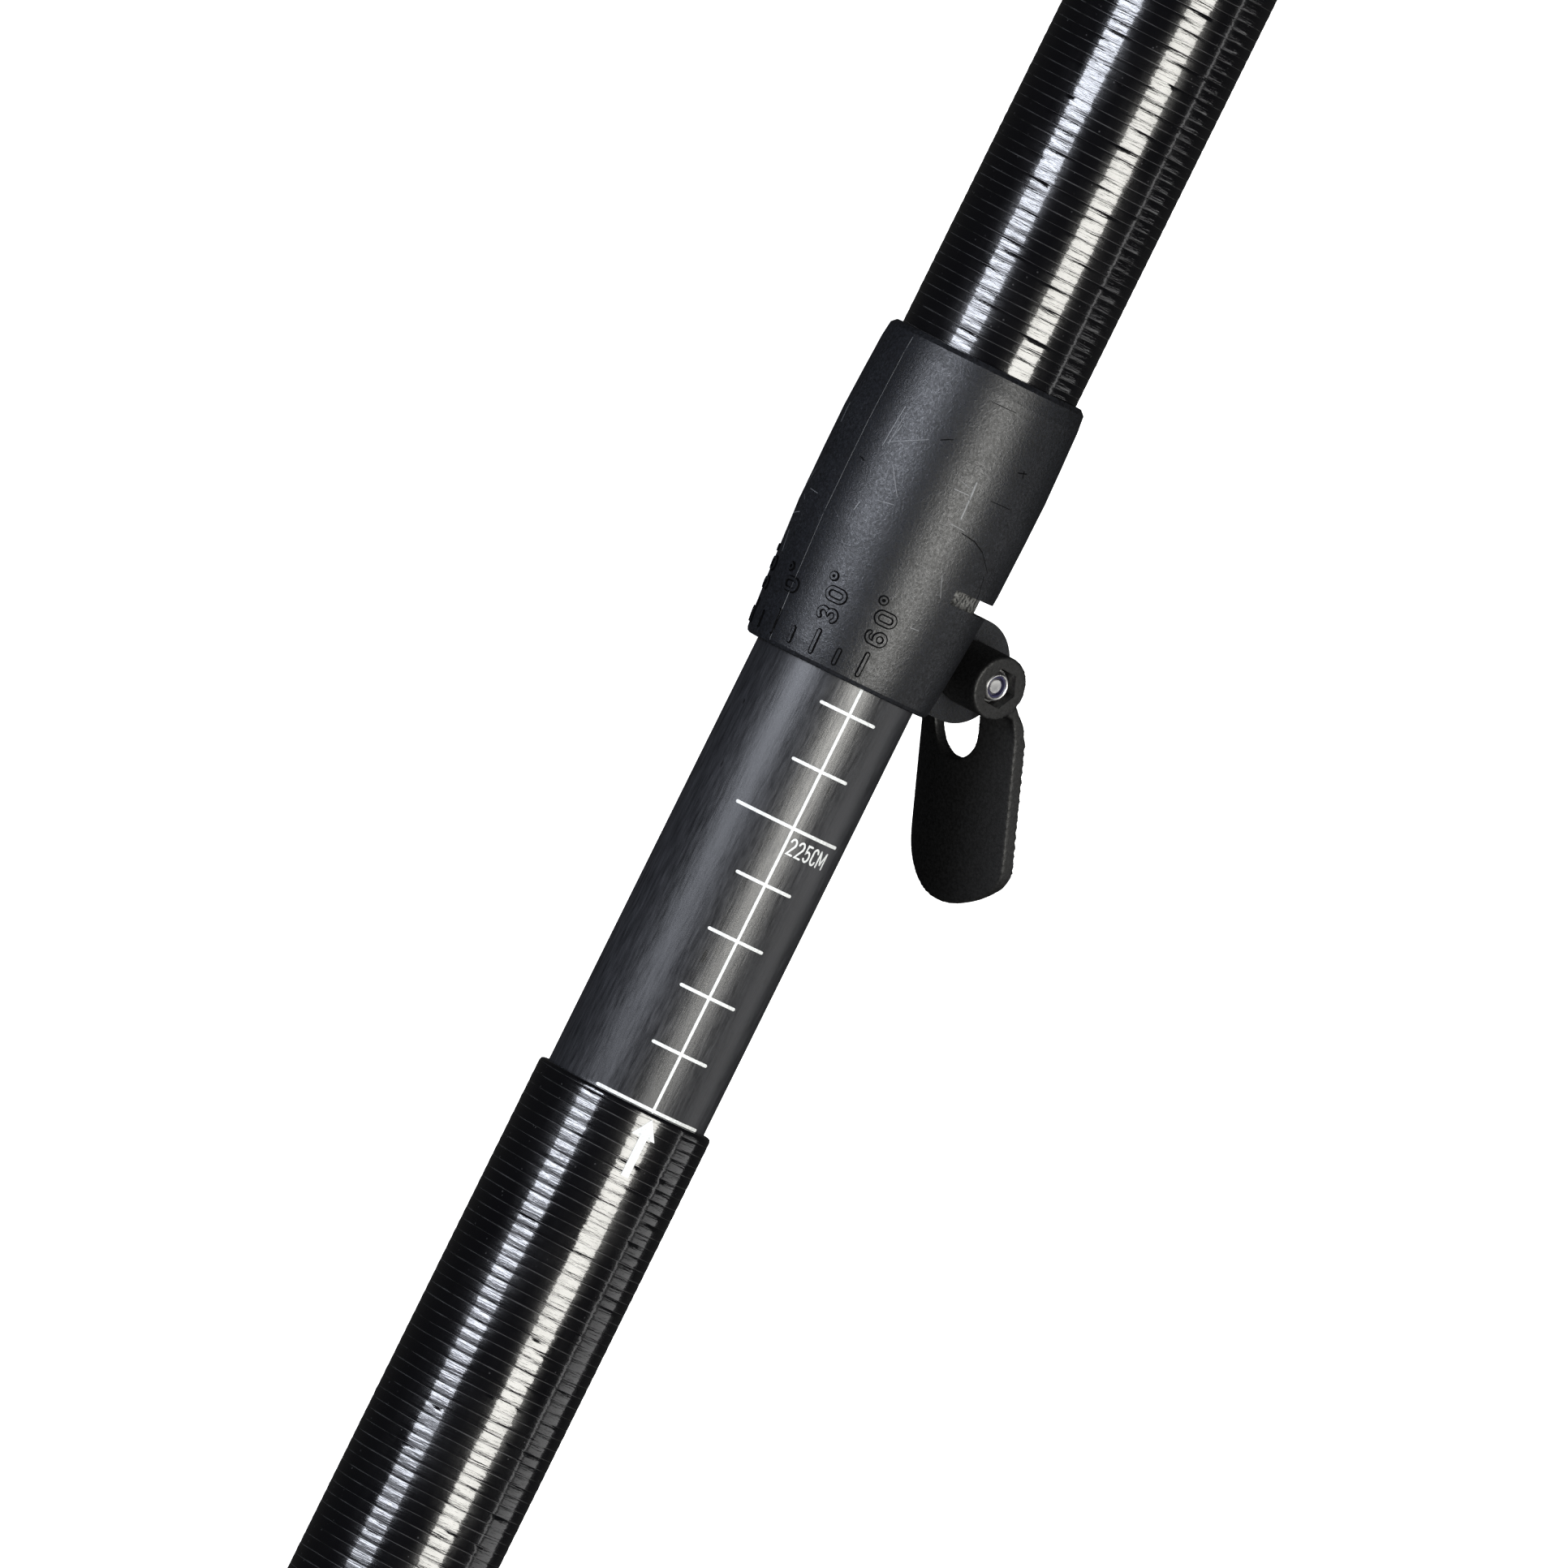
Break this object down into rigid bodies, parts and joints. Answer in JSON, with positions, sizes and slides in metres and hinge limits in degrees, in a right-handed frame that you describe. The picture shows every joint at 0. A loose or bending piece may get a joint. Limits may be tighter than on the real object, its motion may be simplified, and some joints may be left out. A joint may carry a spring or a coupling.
{
  "type": "double-bladed paddle",
  "caption": "Two-piece double-bladed paddle with a lever-clamped centre joint that sets its length and blade feather.",
  "frame": {"origin": "on the shaft's axis, at the end face of the lower shaft", "axes": "+X along the shaft from the lower half to the upper half; +Z out through the printed length scale, which is the lower blade's power face"},
  "size_m": [2.275, 0.1724, 0.1626],
  "materials": {
    "wound_shaft": "gloss lacquer over a fine wound ridge",
    "inner_tube": "sanded composite with a fine lengthwise grain and white print",
    "collar_plastic": "matte moulded plastic with light scratches",
    "lever_plastic": "fine matte moulded plastic",
    "blade_plastic": "moulded glass-filled nylon",
    "drip_rubber": "soft black rubber",
    "foam": "closed-cell foam",
    "guide_plastic": "natural acetal",
    "stainless": "stainless steel",
    "nylon": "blue-violet nylon"
  },
  "bodies": {
    "lower_half": {"lower_shaft": "wound_shaft", "male_ferrule": "inner_tube", "ferrule_plug": "foam", "lower_blade": "blade_plastic", "lower_drip_ring": "drip_rubber", "lower_shaft_plug": "foam"},
    "guide": {"guide_ring": "guide_plastic"},
    "upper_half": {"upper_shaft": "wound_shaft", "clamp_collar": "collar_plastic", "upper_blade": "blade_plastic", "upper_drip_ring": "drip_rubber", "upper_shaft_plug": "foam"},
    "lever": {"clamp_lever": "lever_plastic", "clamp_bolt": "stainless", "bolt_washer": "stainless", "lock_nut": "stainless", "nut_nylon_ring": "nylon"}
  },
  "joints": [
    {"name": "feather", "type": "hinge", "parent": "lower_half", "child": "guide", "pos_m": [0, 0, 0], "axis": [1, 0, 0], "continuous": true},
    {"name": "length_slide", "type": "slide", "parent": "guide", "child": "upper_half", "axis": [1, 0, 0], "range_m": [-0.0745, 0.025]},
    {"name": "lever_pivot", "type": "hinge", "parent": "upper_half", "child": "lever", "pos_m": [0.0845, -0.01991, -0.00784], "axis": [0, -0.3665, 0.9304], "range_deg": [-35, 153]}
  ]
}
